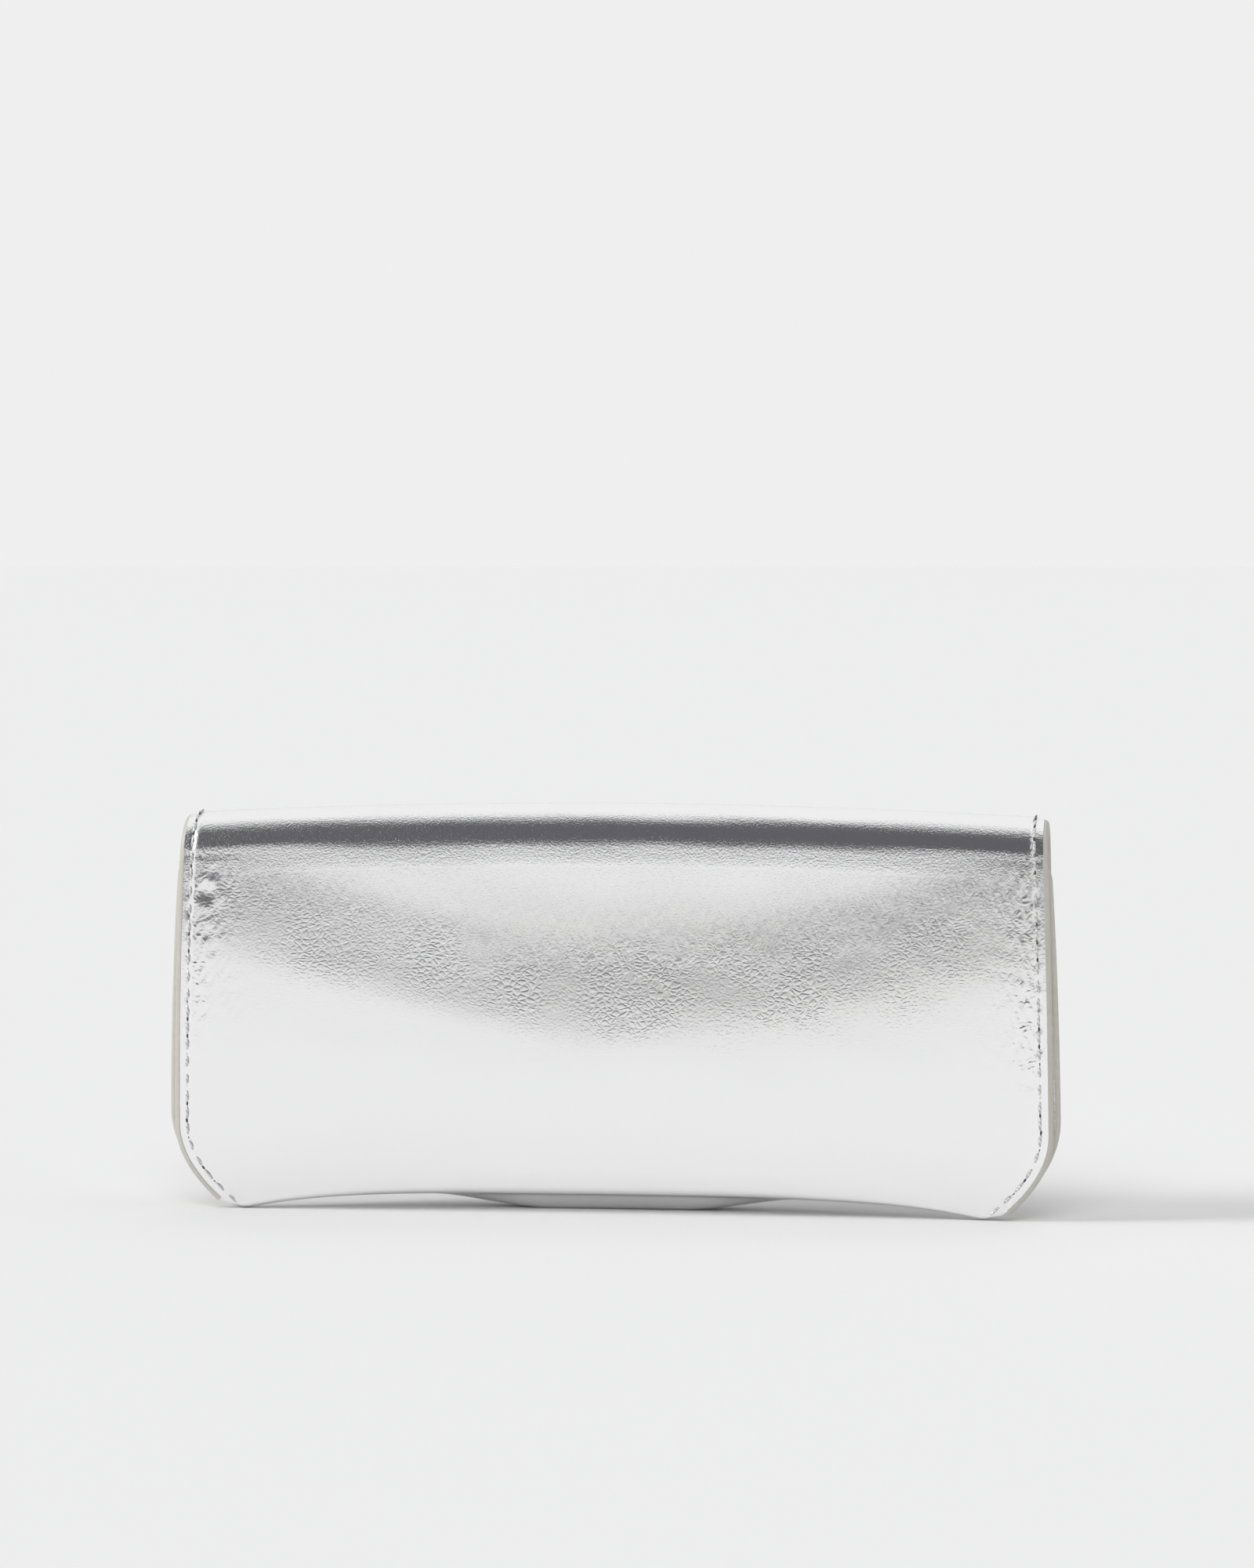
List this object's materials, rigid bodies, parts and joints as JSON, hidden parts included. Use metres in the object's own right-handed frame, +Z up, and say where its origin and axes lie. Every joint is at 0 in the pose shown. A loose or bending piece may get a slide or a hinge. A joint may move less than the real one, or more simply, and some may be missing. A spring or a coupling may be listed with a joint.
{
  "type": "eyeglasses case",
  "caption": "Soft foil-leather eyeglasses pouch whose back panel rolls over the top and closes as a flap over the front panel.",
  "frame": {"origin": "on the floor, under the middle of the closed case", "axes": "+Z up, +X across the width, -Y towards the smooth back panel, +Y towards the flap"},
  "size_m": [0.178, 0.0328, 0.0815],
  "materials": {
    "silver_foil_leather": "silver foil laminated on soft leather, mirror-like with fine creases",
    "edge_paint": "grey-cream edge paint, satin, slightly domed",
    "lining_microfibre": "brushed microfibre",
    "stiffening_board": "pressed fibre board",
    "padding_foam": "closed-cell foam sheet",
    "magnet_nickel": "nickel-plated disc",
    "sewing_thread": "silver-grey polyester thread"
  },
  "bodies": {
    "pouch": {"back_board": "stiffening_board", "back_edge_paint_left": "edge_paint", "back_edge_paint_right": "edge_paint", "back_foam": "padding_foam", "back_leather": "silver_foil_leather", "back_lining": "lining_microfibre", "base_board": "stiffening_board", "base_leather": "silver_foil_leather", "base_lining": "lining_microfibre", "front_board": "stiffening_board", "front_edge_paint_left": "edge_paint", "front_edge_paint_right": "edge_paint", "front_foam": "padding_foam", "front_leather": "silver_foil_leather", "front_lining": "lining_microfibre", "front_steel_plate_left": "magnet_nickel", "front_steel_plate_right": "magnet_nickel", "mouth_stitching": "sewing_thread", "side_stitching_left": "sewing_thread", "side_stitching_right": "sewing_thread"},
    "fold": {"fold_edge_paint_left": "edge_paint", "fold_edge_paint_right": "edge_paint", "fold_leather": "silver_foil_leather", "fold_lining": "lining_microfibre", "fold_stitching_left": "sewing_thread", "fold_stitching_right": "sewing_thread"},
    "flap": {"flap_board": "stiffening_board", "flap_edge_paint_left": "edge_paint", "flap_edge_paint_right": "edge_paint", "flap_foam": "padding_foam", "flap_leather": "silver_foil_leather", "flap_lining": "lining_microfibre", "flap_magnet_left": "magnet_nickel", "flap_magnet_right": "magnet_nickel", "flap_stitching": "sewing_thread"}
  },
  "joints": [
    {"name": "fold_hinge", "type": "hinge", "parent": "pouch", "child": "fold", "pos_m": [0, -0.01248, 0.07901], "axis": [1, 0, 0], "range_deg": [0, 85]},
    {"name": "flap_hinge", "type": "hinge", "parent": "fold", "child": "flap", "pos_m": [0, -0.00047, 0.07901], "axis": [1, 0, 0], "range_deg": [0, 85]}
  ],
  "couplings": [
    {"joint": "flap_hinge", "follows": "fold_hinge", "ratio": 1}
  ]
}
